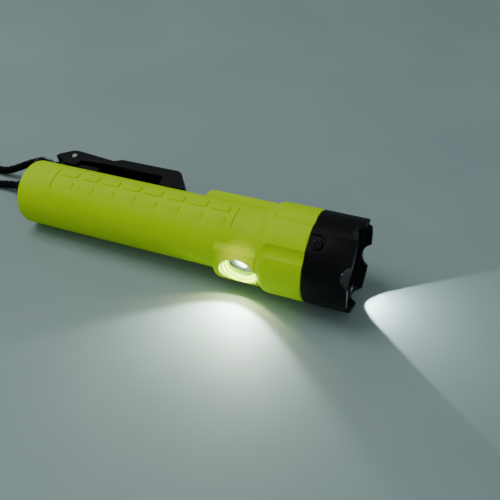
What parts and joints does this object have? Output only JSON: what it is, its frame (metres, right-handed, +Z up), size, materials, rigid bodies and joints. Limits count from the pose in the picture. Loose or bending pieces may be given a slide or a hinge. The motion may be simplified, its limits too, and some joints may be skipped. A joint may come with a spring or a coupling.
{
  "type": "hand torch",
  "caption": "Slim firefighter hand torch with a spot light in the head, a flood light in the side, two sprung switches, a sprung belt clip and a corded wrist lanyard on a split ring.",
  "frame": {"origin": "on the supporting surface, under the middle of the torch and its split ring", "axes": "+X along the torch towards the beam, +Y towards the switches and the clip, +Z up"},
  "size_m": [0.3518, 0.0576, 0.0491],
  "materials": {
    "hi_vis_nylon": "fine-textured high-visibility moulding",
    "black_nylon": "satin black moulding",
    "black_rubber": "matt black rubber",
    "grey_plastic": "grey moulding",
    "bright_steel": "plated steel",
    "contact_brass": "bare contact brass",
    "bare_aluminium": "turned",
    "mirror_coating": "metallised moulding",
    "clear_lens": "clear moulding",
    "circuit_board": "green board",
    "lit_led": "lit emitter",
    "cell_wrap": "wrapped cell",
    "black_cord": "braided cord"
  },
  "bodies": {
    "torch_body": {"housing": "hi_vis_nylon", "clip_base": "black_nylon", "tail_cushion": "black_rubber", "switch_boot": "black_rubber", "flood_lens_seal": "black_rubber", "neck_seal": "black_rubber", "battery_carrier": "grey_plastic", "light_module": "grey_plastic", "clip_pin": "bright_steel", "clip_spring": "bright_steel", "clip_screw_1": "bright_steel", "clip_screw_2": "bright_steel", "flood_tact_switch": "bright_steel", "spot_tact_switch": "bright_steel", "rear_contact_spring": "bright_steel", "front_contact_spring": "bright_steel", "rear_bridge": "contact_brass", "rear_contact": "contact_brass", "front_contact_positive": "contact_brass", "front_contact_negative": "contact_brass", "heat_sink": "bare_aluminium", "flood_reflector": "mirror_coating", "flood_lens": "clear_lens", "contact_board": "circuit_board", "switch_board": "circuit_board", "flood_board": "circuit_board", "main_led_board": "circuit_board", "main_led": "lit_led", "flood_led": "lit_led", "cell_1": "cell_wrap", "cell_2": "cell_wrap", "cell_3": "cell_wrap", "cell_4": "cell_wrap"},
    "lens_stack": {"main_reflector": "mirror_coating", "main_lens": "clear_lens", "main_lens_seal": "black_rubber"},
    "bezel_ring": {"bezel": "black_nylon", "lock_screw": "black_nylon"},
    "clip_arm": {"clip_lever": "black_nylon"},
    "spot_key": {"spot_button": "black_rubber"},
    "flood_key": {"flood_button": "black_rubber"},
    "lanyard": {"split_ring": "bright_steel", "lanyard_splice": "black_rubber", "lanyard_cord_upper": "black_cord", "lanyard_cord_lower": "black_cord", "lanyard_hank": "black_cord", "lanyard_tie": "black_rubber"}
  },
  "joints": [
    {"name": "clip_pivot", "type": "hinge", "parent": "torch_body", "child": "clip_arm", "pos_m": [-0.07314, 0.02014, 0.02469], "axis": [-0.0377, -0.2588, 0.9652], "range_deg": [0, 15], "stiffness_Nm_per_rad": 0.4, "springref_deg": -17.19},
    {"name": "spot_button_press", "type": "slide", "parent": "torch_body", "child": "spot_key", "axis": [0.0101, -0.9659, -0.2586], "range_m": [0, 0.0008], "stiffness_N_per_m": 3000, "springref_m": -0.0003},
    {"name": "flood_button_press", "type": "slide", "parent": "torch_body", "child": "flood_key", "axis": [0.0101, -0.9659, -0.2586], "range_m": [0, 0.0008], "stiffness_N_per_m": 3000, "springref_m": -0.0003},
    {"name": "lens_travel", "type": "slide", "parent": "torch_body", "child": "lens_stack", "axis": [0.9992, 0, 0.039], "range_m": [0, 0.0101]},
    {"name": "bezel_turn", "type": "hinge", "parent": "lens_stack", "child": "bezel_ring", "pos_m": [0.10457, -0.00304, 0.02542], "axis": [0.9992, 0, 0.039], "range_deg": [0, 1440]},
    {"name": "ring_swing", "type": "hinge", "parent": "torch_body", "child": "lanyard", "pos_m": [-0.087, 0.01714, 0.02335], "axis": [0, 0, 1], "range_deg": [-15, 15]}
  ],
  "couplings": [
    {"joint": "lens_travel", "follows": "bezel_turn", "m_per_rad": 0.00039789}
  ]
}
